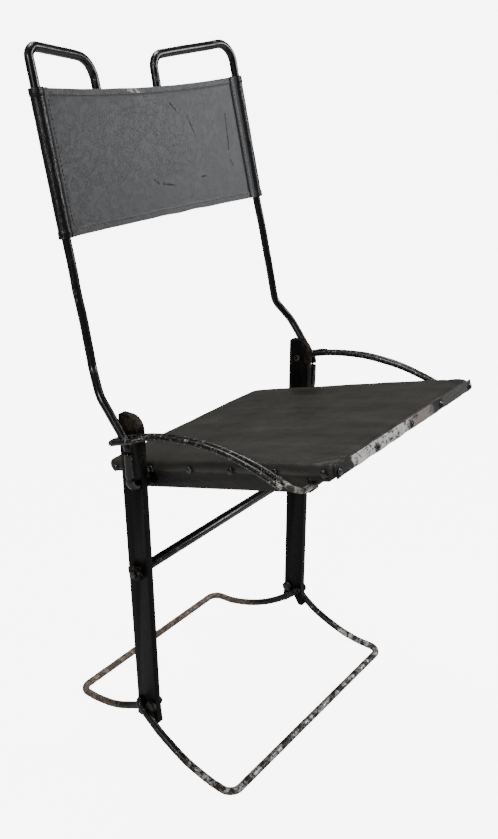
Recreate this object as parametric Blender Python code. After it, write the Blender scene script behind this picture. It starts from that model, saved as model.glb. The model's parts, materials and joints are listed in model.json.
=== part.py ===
"""Folding chair of iron rod and flat bar, with a leather back panel and a leather-covered seat.

Frame: X is the width, -Y the sitter's front, +Z up. The pieces are laid out with y = 0 at the
posts' middle, and the whole chair is then moved along Y so that the origin is on the floor under
the middle of its depth. Two posts of flat bar carry everything: a U-shaped foot rod
swings forward from them and another rearward, the back's rod hooks through them, the seat
turns on those hooked ends, and a hoop of thinner rod holds up the front of the seat.
"""
import math

import bmesh
import bpy
from mathutils import Matrix, Vector

# ---- Driving dimensions, in metres and degrees ----
GAP = 0.0003                 # between pieces that touch
HOLE_CLEARANCE = 0.0004      # round a pin or rod in its hole

POST_HALF_SPAN = 0.190       # middle of the chair to a post's outer face
POST_THICKNESS = 0.010
POST_WIDTH = 0.034
POST_TOP = 0.5175
POST_FRONT_ROUND = 0.017     # the big rounding at the top front corner
POST_REAR_ROUND = 0.004
TOE_HEIGHT = 0.046           # floor to the ends of the swallow-tail
TOE_WIDTH = 0.0075
TOE_SPLAY = 0.003            # how far the toes stand out past the bar's edges
NOTCH_HEIGHT = 0.066

ROD = 0.0110                 # diameter of the back and foot rods
HOOP_ROD = 0.0073
STRETCHER_ROD = 0.0140
STRETCHER_END = 0.010        # turned-down, threaded ends
STRETCHER_HEIGHT = 0.2965
NUT_SIZE = 0.018
NUT_THICKNESS = 0.009
NUT_TURN = 9.0               # the nuts aren't square to the posts
THREAD_PROUD = 0.0025

FOOT_PIN_HEIGHT = 0.076
FOOT_WASHER = 0.017          # diameter of the hammered-over rod ends
FOOT_WASHER_THICKNESS = 0.0035
FRONT_REACH = 0.163          # middle plane to the foot bars on the floor
REAR_REACH = 0.165
FRONT_SPREAD = 0.0064        # how much the front foot widens from its pins to its bar
REAR_SPREAD = -0.006         # the rear foot narrows
FRONT_CURVE = 2.5            # exponents of the arms' downward sweep
REAR_CURVE = 2.3
FOOT_CORNER = 0.017
EYE_BEND = 0.0060            # tight bend of a foot rod where it turns into its post

PIVOT_Y = -0.010             # common axis of the back's hooks and the seat
PIVOT_Z = 0.427
KNEE_LOW = (-0.0105, 0.4855) # (y, z) where the back's rod leaves the vertical
BACK_ZERO = (0.050, 0.5535)  # (y, z) from which heights along the leaning back are measured
KNEE_HIGH = 0.014            # height at which the rod turns up into the back
BACK_LEAN = 12.0
KNEE_TUCK = 0.012            # the uprights come in by this much at the foot of the back
TOP_TUCK = 0.0242            # and by this much at the top
UPRIGHT = 0.372              # height of the tops of the handles
HOOK_BEND = 0.0115           # bend radius of the hooked ends
LEFT_HANDLE = (-0.0775, 0.357)   # (x, height along the back) of the inner corners
RIGHT_HANDLE = (0.0290, 0.360)
LEFT_ROUNDS = (0.0125, 0.027)  # bend radii of a handle's outer and inner corners
RIGHT_ROUNDS = (0.024, 0.018)
HANDLE_SET_BACK = 0.0115     # the hidden cross run lies this far behind the uprights
CROSS_RUN = 0.283            # its height along the back
PANEL_BOTTOM = 0.1665
PANEL_TOP = 0.328
PANEL_LEATHER = 0.0024
PANEL_FLAP = 0.0145          # how far the wrapped edge laps over the web, from the rod's middle
PANEL_SET_BACK = 0.001       # the web's edges lie this far behind the rods' middles
PANEL_SAG = 0.006
PANEL_BULGE = 0.002

SEAT_TILT = 15.0
SEAT_TOP = 0.0217            # seat's top above the pivot, square to the seat
SEAT_REAR = 0.0799           # pivot to the rear edge, along the seat
SEAT_FRONT = 0.2832
SEAT_POST_GAP = 0.0145       # the seat's rear edge to a post's inner face
SEAT_FLARE = 0.0045          # how much wider each side is in front
PAD_THICKNESS = 0.004
SKIRT = 0.0014               # leather pulled down over the board's edges
BOARD_THICKNESS = 0.0095
FRONT_CORNER = 0.006         # rounding of the seat's corners
REAR_CORNER = 0.014
RAIL_DEPTH = 0.021
RAIL_WIDTH = 0.018
RAIL_INSET = 0.003           # rail's outer face inside the seat's edge, at the rear
RAIL_BEHIND_PIVOT = 0.016
BATTEN_WIDTH = 0.028
TRIM_THICKNESS = 0.0016
TRIM_HEIGHT = 0.0142
NAIL_HEAD = 0.0086
NAIL_DOME = 0.0019
NAIL_SHANK = 0.0018
NAIL_LENGTH = 0.0105
NAILS_FRONT = 5
NAILS_SIDE = 6
NAILS_REAR = 4
SPACER = 0.015
PIVOT_WASHER = 0.0148
WASHER_THICKNESS = 0.002
PIN_HEAD = 0.0142
PIN_HEAD_THICKNESS = 0.003

HOOP_Y = 0.002               # the hoop's pins in the posts
HOOP_Z = 0.4895
HOOP_EYE = 0.0145            # middle of the rod at the eye's rear end
HOOP_SIDE_GAP = 0.0005       # on each side of the back's rod, between the strands
HOOP_SLOT = (0.095, 0.19)    # shares of the arm where the strands start to close, and touch
HOOP_CLOSED_GAP = 0.0004
HOOP_END = 0.925             # share of the arm where the outer strand is cut off
HOOP_FRONT = 0.2484          # middle plane to the cross run under the seat
HOOP_FRONT_Z = 0.487
HOOP_RISE = 0.0245
HOOP_STRAIGHT = 0.15         # share of the arm that stays beside the post as it swings
HOOP_DRAW_IN = 0.006         # how far the arms come closer together towards the front
HOOP_DROP = 0.0015           # the eye lies this far under the pins
HOOP_END_DROP = 0.0025       # and the cut end this far under its neighbour
HOOP_CORNER = 0.014
HOOP_PIN = 0.007
HOOP_PIN_HEAD = 0.0105

# ---- Fits that follow from them ----
R = ROD / 2
HOOP_R = HOOP_ROD / 2
POST_IN = POST_HALF_SPAN - POST_THICKNESS
HOLE = ROD + 2 * HOLE_CLEARANCE
WASHER_GAP = 0.0004
# The arm of each foot rests under the washer on the other foot's pin: that is the stop.
FOOT_START_ANGLE = math.radians(41)
FOOT_PIN_Y = (FOOT_WASHER / 2 + R + WASHER_GAP) / math.sin(FOOT_START_ANGLE) / 2
HOOP_SPACING = ROD + HOOP_ROD + 2 * HOOP_SIDE_GAP      # of the strands, at the eye
BACK_STAND_OFF = POST_HALF_SPAN + GAP + HOOP_R + HOOP_SPACING / 2
KNEE_HALF_SPAN = BACK_STAND_OFF - KNEE_TUCK
TOP_HALF_SPAN = BACK_STAND_OFF - TOP_TUCK
SEAT_REAR_HALF = POST_IN - SEAT_POST_GAP
SEAT_FRONT_HALF = SEAT_REAR_HALF + SEAT_FLARE
ROD_SIDES = 10
FLOOR_ROD = R * math.cos(math.pi / ROD_SIDES)   # axis height with a flat facet on the floor
BOARD_TOP = SEAT_TOP - PAD_THICKNESS - GAP
BOARD_BOTTOM = BOARD_TOP - BOARD_THICKNESS
RAIL_TOP = BOARD_BOTTOM - GAP
RAIL_OUT = SEAT_REAR_HALF - RAIL_INSET
RAIL_IN = RAIL_OUT - RAIL_WIDTH


def clear_scene():
    for obj in list(bpy.data.objects):
        bpy.data.objects.remove(obj, do_unlink=True)


def material(name, colour, roughness, metallic=0.0):
    mat = bpy.data.materials.new(name)
    mat.use_nodes = True
    shader = mat.node_tree.nodes["Principled BSDF"]
    shader.inputs["Base Color"].default_value = (*colour, 1.0)
    shader.inputs["Roughness"].default_value = roughness
    shader.inputs["Metallic"].default_value = metallic
    return mat


def add_object(name, mesh, mat=None, smooth=True):
    obj = bpy.data.objects.new(name, mesh)
    bpy.context.scene.collection.objects.link(obj)
    if mat:
        mesh.materials.clear()
        mesh.materials.append(mat)
    if smooth:
        mesh.shade_smooth()
        mesh.set_sharp_from_angle(angle=math.radians(35))
    return obj


def mesh_from(bm, name):
    bmesh.ops.recalc_face_normals(bm, faces=bm.faces)
    mesh = bpy.data.meshes.new(name)
    bm.to_mesh(mesh)
    bm.free()
    return mesh


def prism(name, outline, axis, low, high, mat=None):
    """A flat outline pushed out along X or Z from low to high. Outlines are (y, z) or (x, y)."""
    bm = bmesh.new()
    place = {"X": lambda a, b: (low, a, b), "Z": lambda a, b: (a, b, low)}[axis]
    push = {"X": (high - low, 0, 0), "Z": (0, 0, high - low)}[axis]
    face = bm.faces.new([bm.verts.new(place(a, b)) for a, b in outline])
    grown = bmesh.ops.extrude_face_region(bm, geom=[face])["geom"]
    bmesh.ops.translate(bm, vec=push, verts=[g for g in grown if isinstance(g, bmesh.types.BMVert)])
    return add_object(name, mesh_from(bm, name), mat, smooth=False)


def box(name, low, high, mat=None):
    outline = [(low[0], low[1]), (high[0], low[1]), (high[0], high[1]), (low[0], high[1])]
    return prism(name, outline, "Z", low[2], high[2], mat)


def disc_x(name, radius, x0, x1, y, z, mat=None, sides=16):
    """A round bar along X between x0 and x1."""
    bm = bmesh.new()
    turn = Matrix.Translation(((x0 + x1) / 2, y, z)) @ Matrix.Rotation(math.pi / 2, 4, "Y")
    bmesh.ops.create_cone(bm, cap_ends=True, segments=sides, radius1=radius, radius2=radius,
                          depth=abs(x1 - x0), matrix=turn)
    return add_object(name, mesh_from(bm, name), mat)


def ring_x(name, outer, inner, x0, x1, y, z, mat=None, sides=16):
    obj = disc_x(name, outer, x0, x1, y, z, mat, sides)
    subtract(obj, disc_x(name + "_hole", inner, min(x0, x1) - 0.01, max(x0, x1) + 0.01, y, z))
    return obj


def combine(target, other, operation):
    """Boolean of two meshes, applied, with the second one used up."""
    modifier = target.modifiers.new(operation.lower(), "BOOLEAN")
    modifier.operation = operation
    modifier.object = other
    bpy.context.view_layer.update()
    graph = bpy.context.evaluated_depsgraph_get()
    mesh = bpy.data.meshes.new_from_object(target.evaluated_get(graph), depsgraph=graph)
    target.modifiers.remove(modifier)
    target.data = mesh
    bpy.data.objects.remove(other, do_unlink=True)


def subtract(target, cutter):
    combine(target, cutter, "DIFFERENCE")


def unite(target, other):
    combine(target, other, "UNION")


def rounded(corners, radii, steps=6):
    """The path through the corners, with an arc of the given radius at each inner one."""
    points = [Vector(corners[0])]
    for before, corner, after, radius in zip(corners, corners[1:], corners[2:], radii):
        corner = Vector(corner)
        back, on = (Vector(before) - corner).normalized(), (Vector(after) - corner).normalized()
        half = back.angle(on) / 2
        reach = radius / math.tan(half)
        centre = corner + (back + on).normalized() * radius / math.sin(half)
        start, end = corner + back * reach - centre, corner + on * reach - centre
        turn = start.angle(end)
        for i in range(steps + 1):
            t = i / steps
            point = (start * math.sin((1 - t) * turn) + end * math.sin(t * turn)) / math.sin(turn)
            points.append(centre + point)
    points.append(Vector(corners[-1]))
    return points


def rod(name, points, diameter, mat=None, sides=ROD_SIDES, roll=0.0):
    """A round rod along the points: a bevelled curve turned into a mesh."""
    curve = bpy.data.curves.new(name, "CURVE")
    curve.dimensions = "3D"
    curve.twist_mode = "Z_UP"
    curve.bevel_depth = diameter / 2
    curve.bevel_resolution = (sides - 4) // 2
    curve.use_fill_caps = True
    spline = curve.splines.new("POLY")
    spline.points.add(len(points) - 1)
    for target, point in zip(spline.points, points):
        target.co = (*point, 1.0)
        target.tilt = roll
    guide = bpy.data.objects.new(name + "_line", curve)
    bpy.context.scene.collection.objects.link(guide)
    bpy.context.view_layer.update()
    graph = bpy.context.evaluated_depsgraph_get()
    mesh = bpy.data.meshes.new_from_object(guide.evaluated_get(graph), depsgraph=graph)
    bpy.data.objects.remove(guide, do_unlink=True)
    bm = bmesh.new()
    bm.from_mesh(mesh)
    bmesh.ops.remove_doubles(bm, verts=bm.verts, dist=0.00001)
    return add_object(name, mesh_from(bm, name), mat)


def hang_on(pivot, *objects):
    """Parents the objects to an empty on their joint's axis, without moving them."""
    for obj in objects:
        obj.parent = pivot
        obj.matrix_parent_inverse = pivot.matrix_world.inverted()


def pivot_at(name, y, z):
    empty = bpy.data.objects.new(name, None)
    empty.empty_display_size = 0.02
    empty.location = (0, y, z)
    bpy.context.scene.collection.objects.link(empty)
    bpy.context.view_layer.update()
    return empty


# ---- Posts and stretcher ----

def post_outline():
    """(y, z) round a post: a rounded top and a swallow-tail with two splayed toes."""
    half = POST_WIDTH / 2
    tail = half + TOE_SPLAY
    outline = [(0.0, NOTCH_HEIGHT), (tail - TOE_WIDTH, TOE_HEIGHT), (tail, TOE_HEIGHT + 0.001),
               (half, FOOT_PIN_HEIGHT + 0.009)]
    for centre, radius, start in ((half - POST_REAR_ROUND, POST_REAR_ROUND, 0),
                                  (POST_FRONT_ROUND - half, POST_FRONT_ROUND, 90)):
        for i in range(6):
            angle = math.radians(start + 90 * i / 5)
            outline.append((centre + radius * math.cos(angle),
                            POST_TOP - radius + radius * math.sin(angle)))
    outline += [(-half, FOOT_PIN_HEIGHT + 0.009), (-tail, TOE_HEIGHT + 0.001),
                (TOE_WIDTH - tail, TOE_HEIGHT)]
    return outline


def make_posts(iron):
    posts = []
    holes = ((HOLE, PIVOT_Y, PIVOT_Z), (HOLE, FOOT_PIN_Y, FOOT_PIN_HEIGHT),
             (HOLE, -FOOT_PIN_Y, FOOT_PIN_HEIGHT),
             (STRETCHER_END + 2 * HOLE_CLEARANCE, 0.0, STRETCHER_HEIGHT),
             (HOOP_PIN + 2 * HOLE_CLEARANCE, HOOP_Y, HOOP_Z))
    for name, side in (("left_post", -1), ("right_post", 1)):
        low, high = sorted((side * POST_IN, side * POST_HALF_SPAN))
        post = prism(name, post_outline(), "X", low, high, iron)
        for diameter, y, z in holes:
            subtract(post, disc_x("hole", diameter / 2, low - 0.01, high + 0.01, y, z))
        posts.append(post)
    return posts


def make_stretcher(iron, nut_iron):
    bar = disc_x("stretcher_rod", STRETCHER_ROD / 2, GAP - POST_IN, POST_IN - GAP,
                 0.0, STRETCHER_HEIGHT, iron)
    end = POST_HALF_SPAN + GAP + NUT_THICKNESS + THREAD_PROUD
    unite(bar, disc_x("threads", STRETCHER_END / 2, -end, end, 0.0, STRETCHER_HEIGHT))
    for name, side in (("stretcher_nut_left", -1), ("stretcher_nut_right", 1)):
        x0 = side * (POST_HALF_SPAN + GAP)
        x1 = x0 + side * NUT_THICKNESS
        half = NUT_SIZE / 2
        nut = box(name, (min(x0, x1), -half, -half), (max(x0, x1), half, half), nut_iron)
        nut.data.transform(Matrix.Translation((0, 0, STRETCHER_HEIGHT))
                           @ Matrix.Rotation(math.radians(side * NUT_TURN), 4, "X"))
        bore = STRETCHER_END / 2 + HOLE_CLEARANCE
        subtract(nut, disc_x("bore", bore, x0 - 0.02, x0 + 0.02, 0.0, STRETCHER_HEIGHT))


# ---- Feet ----

def foot_arm(side, pin_y, bar_y, x_pin, x_floor, power, count=9):
    """Points of one arm, from its pin down to where the corner on the floor starts."""
    points = []
    for i in range(count):
        t = 0.10 + 0.78 * i / (count - 1)
        drop = (1 - t) ** power
        points.append((side * (x_pin + (x_floor - x_pin) * t), pin_y + (bar_y - pin_y) * t,
                       FLOOR_ROD + (FOOT_PIN_HEIGHT - FLOOR_ROD) * drop))
    return points


def make_foot(name, pin_y, bar_y, x_pin, x_floor, power, tip_x, iron, head_iron):
    """A U of rod on the floor. Its ends turn through the posts and are hammered over."""
    arm = foot_arm(1, pin_y, bar_y, x_pin, x_floor, power)
    corner = (x_floor, bar_y, FLOOR_ROD)
    head = 1 if tip_x > x_pin else -1
    tip, pin_corner = (tip_x, pin_y, FOOT_PIN_HEIGHT), (x_pin, pin_y, FOOT_PIN_HEIGHT)
    path = rounded([tip, pin_corner, arm[0]], [EYE_BEND], 5) + [Vector(p) for p in arm[1:]]
    bend = rounded([arm[-1], corner, (-x_floor, bar_y, FLOOR_ROD)], [FOOT_CORNER], 6)
    left = [Vector((-p.x, p.y, p.z)) for p in reversed(path)]
    left_bend = [Vector((-p.x, p.y, p.z)) for p in reversed(bend[:-1])]
    points = path[:-1] + bend[:-1] + left_bend + left[1:]
    foot = rod(name + "_rod", points, ROD, iron)
    pivot = pivot_at(name + "_pivot", pin_y, FOOT_PIN_HEIGHT)
    hang_on(pivot, foot)
    washer_x = POST_HALF_SPAN + GAP if head > 0 else POST_IN - GAP
    for word, side in (("left", -1), ("right", 1)):
        x0 = side * washer_x
        x1 = side * (washer_x + head * FOOT_WASHER_THICKNESS)
        washer = ring_x(f"{name}_washer_{word}", FOOT_WASHER / 2, HOLE / 2, x0, x1,
                        pin_y, FOOT_PIN_HEIGHT, head_iron)
        hang_on(pivot, washer)


def make_feet(iron, head_iron):
    outside = POST_HALF_SPAN + 0.0006 + R
    inside = POST_IN - 0.0006 - R
    proud = FOOT_WASHER_THICKNESS + GAP + 0.0015
    make_foot("front_foot", FOOT_PIN_Y, -FRONT_REACH, outside, outside + FRONT_SPREAD, FRONT_CURVE,
              POST_IN - proud, iron, head_iron)
    make_foot("rear_foot", -FOOT_PIN_Y, REAR_REACH, inside, inside + REAR_SPREAD, REAR_CURVE,
              POST_HALF_SPAN + proud, iron, head_iron)


# ---- Back ----

def on_back(x, height, behind):
    """A point given along the leaning back and square to it."""
    lean = math.radians(BACK_LEAN)
    return Vector((x, BACK_ZERO[0] + height * math.sin(lean) + behind * math.cos(lean),
                   BACK_ZERO[1] + height * math.cos(lean) - behind * math.sin(lean)))


def upright_x(height):
    return KNEE_HALF_SPAN + (TOP_HALF_SPAN - KNEE_HALF_SPAN) * height / UPRIGHT


def back_side(side, handle, rounds):
    """Corners and bend radii of one side, from the hooked end to the hidden cross run."""
    tip = RAIL_IN - WASHER_THICKNESS - 2 * GAP - 0.001
    x, height = handle
    knee = on_back(side * upright_x(KNEE_HIGH), KNEE_HIGH, 0.0)
    clear = [low + 2 / 3 * (high - low) for low, high in zip(KNEE_LOW, knee.yz)]
    corners = [(side * tip, PIVOT_Y, PIVOT_Z), (side * BACK_STAND_OFF, PIVOT_Y, PIVOT_Z),
               (side * BACK_STAND_OFF, *KNEE_LOW), (side * BACK_STAND_OFF, *clear), knee,
               on_back(side * TOP_HALF_SPAN, UPRIGHT, 0.0),
               on_back(x, height, 0.9 * HANDLE_SET_BACK),
               on_back(x - side * 0.001, CROSS_RUN, HANDLE_SET_BACK)]
    radii = [HOOK_BEND, 0.018, 0.05, 0.026, *rounds, 0.013]
    return corners, radii


def make_back(iron, leather):
    left, left_radii = back_side(-1, LEFT_HANDLE, LEFT_ROUNDS)
    right, right_radii = back_side(1, RIGHT_HANDLE, RIGHT_ROUNDS)
    path = rounded(left + right[::-1], left_radii + right_radii[::-1])
    frame = rod("back_frame_rod", path, ROD, iron)
    for side in (-1, 1):
        x0 = side * (RAIL_IN - WASHER_THICKNESS - 2 * GAP)
        unite(frame, disc_x("head", PIN_HEAD / 2, x0, x0 - side * PIN_HEAD_THICKNESS,
                            PIVOT_Y, PIVOT_Z, sides=14))
    frame.data.materials.clear()
    frame.data.materials.append(iron)
    pivot = pivot_at("back_pivot", PIVOT_Y, PIVOT_Z)
    hang_on(pivot, frame, make_panel(leather))


def panel_line(half, columns=10):
    """(x, behind) along the leather's middle: flap, sleeve, web between the rods, sleeve, flap."""
    wrap = R + GAP + PANEL_LEATHER / 2
    edge = half - wrap - 0.0014
    web = [(edge * (2 * i / columns - 1),
            PANEL_SET_BACK + PANEL_BULGE * (1 - (2 * i / columns - 1) ** 2))
           for i in range(columns + 1)]
    side = []
    for angle in range(-60, 241, 30):
        turn = math.radians(angle)
        side.append((half + wrap * math.sin(turn), wrap * math.cos(turn)))
    lap = PANEL_SET_BACK - PANEL_LEATHER - 2 * GAP
    side += [(edge, lap - GAP), (half - PANEL_FLAP, lap)]
    return [(-x, behind) for x, behind in reversed(side)] + web + side


def offset_line(line, distance):
    """The line moved sideways by the distance, point by point."""
    moved = []
    for i, point in enumerate(line):
        before, after = Vector(line[max(i - 1, 0)]), Vector(line[min(i + 1, len(line) - 1)])
        along = (after - before).normalized()
        moved.append((point[0] - along.y * distance, point[1] + along.x * distance))
    return moved


def make_panel(leather):
    """One sheet of leather wrapped round both uprights, hollow and sagging between them."""
    bm = bmesh.new()
    rows = []
    for height in (PANEL_BOTTOM, PANEL_TOP):
        line = panel_line(upright_x(height))
        for face in (-PANEL_LEATHER / 2, PANEL_LEATHER / 2):
            row = []
            for x, behind in offset_line(line, face):
                across = max(0.0, 1 - (x / upright_x(height)) ** 2)
                sag = PANEL_SAG * across if height == PANEL_TOP else 0.0
                row.append(bm.verts.new(on_back(x, height - sag, behind)))
            rows.append(row)
    loops = [rows[0], rows[1], rows[3], rows[2]]
    for first, second in zip(loops, loops[1:] + loops[:1]):
        for i in range(len(first) - 1):
            bm.faces.new((first[i], first[i + 1], second[i + 1], second[i]))
    for i in (0, -1):
        bm.faces.new([row[i] for row in loops])
    return add_object("back_panel", mesh_from(bm, "back_panel"), leather)


# ---- Seat, modelled flat with the pivot at its origin, then tilted ----

def seat_half(y):
    """Half the seat's width at a place along it: it widens a little to the front."""
    share = (SEAT_REAR - y) / (SEAT_REAR + SEAT_FRONT)
    return SEAT_REAR_HALF + (SEAT_FRONT_HALF - SEAT_REAR_HALF) * share


def seat_outline(inset, steps=4):
    """(x, y) outline of the seat with rounded corners, drawn in by inset."""
    points = []
    for side, end, start in ((-1, -1, 180), (1, -1, 270), (1, 1, 0), (-1, 1, 90)):
        corner = FRONT_CORNER if end < 0 else REAR_CORNER
        y = -SEAT_FRONT if end < 0 else SEAT_REAR
        centre_x, centre_y = side * (seat_half(y) - corner), y - end * corner
        for i in range(steps + 1):
            angle = math.radians(start + 90 * i / steps)
            points.append((centre_x + (corner - inset) * math.cos(angle),
                           centre_y + (corner - inset) * math.sin(angle)))
    return points


def nail_places():
    """(point, outward direction) of each nail round the seat's edge, in the seat's frame."""
    middle = (BOARD_TOP + BOARD_BOTTOM) / 2
    places = {"front": [], "left": [], "right": [], "rear": []}
    for i in range(NAILS_FRONT):
        x = (SEAT_FRONT_HALF - 0.0075) * (2 * i / (NAILS_FRONT - 1) - 1)
        places["front"].append(((x, -SEAT_FRONT - TRIM_THICKNESS - GAP, middle), (0, -1, 0)))
    pitch = (SEAT_FRONT + SEAT_REAR - 0.032) / (NAILS_SIDE - 1)
    for word, side in (("left", -1), ("right", 1)):
        for i in range(NAILS_SIDE):
            y = 0.014 - SEAT_FRONT + i * pitch
            places[word].append(((side * seat_half(y), y, middle), (side, 0, 0)))
    for i in range(NAILS_REAR):
        x = (SEAT_REAR_HALF - 0.020) * (2 * i / (NAILS_REAR - 1) - 1)
        places["rear"].append(((x, SEAT_REAR, middle), (0, 1, 0)))
    return places


def nail_matrix(point, outward):
    return Matrix.Translation(point) @ Vector(outward).to_track_quat("Z", "Y").to_matrix().to_4x4()


def make_nail(name, point, outward, iron):
    """A dome-headed nail, turned round its own axis."""
    profile = [(0.0, NAIL_DOME), (0.55 * NAIL_HEAD / 2, 0.8 * NAIL_DOME),
               (NAIL_HEAD / 2, GAP), (NAIL_SHANK / 2, GAP),
               (NAIL_SHANK / 2, 0.003 - NAIL_LENGTH), (0.0, -NAIL_LENGTH)]
    bm = bmesh.new()
    verts = [bm.verts.new((r, 0, z)) for r, z in profile]
    edges = [bm.edges.new(pair) for pair in zip(verts, verts[1:])]
    bmesh.ops.spin(bm, geom=verts + edges, axis=(0, 0, 1), cent=(0, 0, 0),
                   angle=2 * math.pi, steps=10)
    bmesh.ops.remove_doubles(bm, verts=bm.verts, dist=0.00001)
    mesh = mesh_from(bm, name)
    mesh.transform(nail_matrix(point, outward))
    return add_object(name, mesh, iron)


def nail_holes(places):
    """All the nails' holes as one cutter: loose cylinders that don't touch each other."""
    bm = bmesh.new()
    for group in places.values():
        for point, outward in group:
            depth = 2 * (NAIL_LENGTH + GAP)
            bmesh.ops.create_cone(bm, cap_ends=True, segments=8, depth=depth,
                                  radius1=NAIL_SHANK / 2 + HOLE_CLEARANCE,
                                  radius2=NAIL_SHANK / 2 + HOLE_CLEARANCE,
                                  matrix=nail_matrix(point, outward))
    return add_object("nail_holes", mesh_from(bm, "nail_holes"))


def make_cover(leather):
    """The leather with its thin padding: a shallow lid whose skirt covers the board's edge."""
    cover = prism("seat_cover", seat_outline(0.0), "Z", BOARD_BOTTOM, SEAT_TOP, leather)
    inside = prism("inside", seat_outline(SKIRT), "Z", BOARD_BOTTOM - 0.01, BOARD_TOP + GAP)
    subtract(cover, inside)
    return cover


def make_seat(wood, leather, iron, nail_iron):
    places = nail_places()
    board = prism("seat_board", seat_outline(SKIRT + GAP), "Z", BOARD_BOTTOM, BOARD_TOP, wood)
    cover = make_cover(leather)
    trim = box("front_trim_band",
               (-SEAT_FRONT_HALF, -SEAT_FRONT - GAP - TRIM_THICKNESS, SEAT_TOP - 0.001 - TRIM_HEIGHT),
               (SEAT_FRONT_HALF, -SEAT_FRONT - GAP, SEAT_TOP - 0.001), leather)
    for piece in (board, cover, trim):
        subtract(piece, nail_holes(places))
    pieces = [board, cover, trim]
    for word, group in places.items():
        for i, (point, outward) in enumerate(group, 1):
            pieces.append(make_nail(f"nail_{word}_{i}", point, outward, nail_iron))
    pieces += make_rails(wood, iron)
    tilt = Matrix.Translation((0, PIVOT_Y, PIVOT_Z)) @ Matrix.Rotation(-math.radians(SEAT_TILT), 4, "X")
    for piece in pieces:
        piece.data.transform(tilt)
    hang_on(pivot_at("seat_pivot", PIVOT_Y, PIVOT_Z), *pieces)


def hoop_cross_on_seat():
    """(y, z) of the hoop's cross run in the seat's own frame."""
    tilt = math.radians(SEAT_TILT)
    y, z = -HOOP_FRONT - PIVOT_Y, HOOP_FRONT_Z - PIVOT_Z
    return y * math.cos(tilt) - z * math.sin(tilt), y * math.sin(tilt) + z * math.cos(tilt)


def make_rails(wood, iron):
    cross_y, cross_z = hoop_cross_on_seat()
    rail_end = cross_y + HOOP_R + 0.001
    pieces = []
    for word, side in (("left", -1), ("right", 1)):
        low, high = sorted((side * RAIL_IN, side * RAIL_OUT))
        rail = box(f"seat_rail_{word}", (low, rail_end, RAIL_TOP - RAIL_DEPTH),
                   (high, RAIL_BEHIND_PIVOT, RAIL_TOP), wood)
        subtract(rail, disc_x("hole", HOLE / 2, low - 0.01, high + 0.01, 0.0, 0.0))
        pieces.append(rail)
        x0, x1 = side * (RAIL_OUT + GAP), side * (POST_IN - GAP)
        pieces.append(ring_x(f"pivot_spacer_{word}", SPACER / 2, HOLE / 2, x0, x1, 0.0, 0.0, iron))
        x0 = side * (RAIL_IN - GAP)
        pieces.append(ring_x(f"pivot_washer_{word}", PIVOT_WASHER / 2, HOLE / 2, x0,
                             x0 - side * WASHER_THICKNESS, 0.0, 0.0, iron))
    batten_low = cross_z + HOOP_R + 0.0004
    pieces.append(box("seat_front_batten", (-RAIL_OUT, rail_end - GAP - BATTEN_WIDTH, batten_low),
                      (RAIL_OUT, rail_end - GAP, RAIL_TOP), wood))
    return pieces


# ---- Hoop ----

def hoop_strand(side, outer, start, end, count):
    """Points of one strand, between two places along the arm (0 is the eye, 1 the front)."""
    points = []
    rear = HOOP_EYE - HOOP_SPACING / 2
    for i in range(count):
        t = start + (end - start) * i / (count - 1)
        y = rear + (-HOOP_FRONT - rear) * t
        arch = 4 * HOOP_RISE * t * (1 - t)
        z = HOOP_Z - HOOP_DROP + (HOOP_FRONT_Z - HOOP_Z + HOOP_DROP) * t + arch
        x = POST_HALF_SPAN + GAP + HOOP_R
        x -= HOOP_DRAW_IN * min(max((t - HOOP_STRAIGHT) / 0.42, 0.0), 1.0)
        if outer:
            s = min(max((t - HOOP_SLOT[0]) / (HOOP_SLOT[1] - HOOP_SLOT[0]), 0.0), 1.0)
            closing = s * s * (3 - 2 * s)
            x += HOOP_SPACING + (HOOP_ROD + HOOP_CLOSED_GAP - HOOP_SPACING) * closing
            z -= HOOP_END_DROP * max(0.0, (t - 0.6) / (HOOP_END - 0.6))
        points.append(Vector((side * x, y, z)))
    return points


def hoop_side(side):
    """One arm: the inner strand from the front back to the eye, then round it and forward."""
    inner = hoop_strand(side, False, 0.93, 0.0, 16)
    outer = hoop_strand(side, True, 0.0, HOOP_END, 30)
    middle = (inner[-1] + outer[0]) / 2
    across = (outer[0] - inner[-1]) / 2
    along = (inner[-1] - inner[-2]).normalized() * HOOP_SPACING / 2
    eye = [middle - across * math.cos(a) + along * math.sin(a)
           for a in (math.radians(180 * i / 8) for i in range(1, 8))]
    return inner, eye + outer


def make_hoop(iron, pin_iron):
    ends = {}
    for side in (-1, 1):
        inner, rest = hoop_side(side)
        corner = Vector((inner[0].x, -HOOP_FRONT, HOOP_FRONT_Z))
        middle = Vector((0.0, -HOOP_FRONT, HOOP_FRONT_Z))
        bend = rounded([inner[0], corner, middle], [HOOP_CORNER], 6)
        ends[side] = list(reversed(bend[1:-1])) + inner + rest
    path = list(reversed(ends[-1])) + ends[1]
    # The outer strands lie against the inner ones and are brazed there.
    hoop = rod("arm_hoop", path, HOOP_ROD, iron, sides=8)
    pivot = pivot_at("hoop_pivot", HOOP_Y, HOOP_Z)
    hang_on(pivot, hoop)
    for word, side in (("left", -1), ("right", 1)):
        pin = disc_x(f"hoop_pin_{word}", HOOP_PIN / 2, side * POST_HALF_SPAN,
                     side * (POST_IN - 0.001), HOOP_Y, HOOP_Z, pin_iron)
        x0 = side * (POST_IN - GAP)
        unite(pin, disc_x("head", HOOP_PIN_HEAD / 2, x0, x0 - side * 0.0025,
                          HOOP_Y, HOOP_Z))
        pin.data.materials.clear()
        pin.data.materials.append(pin_iron)
        hang_on(pivot, pin)


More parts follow.
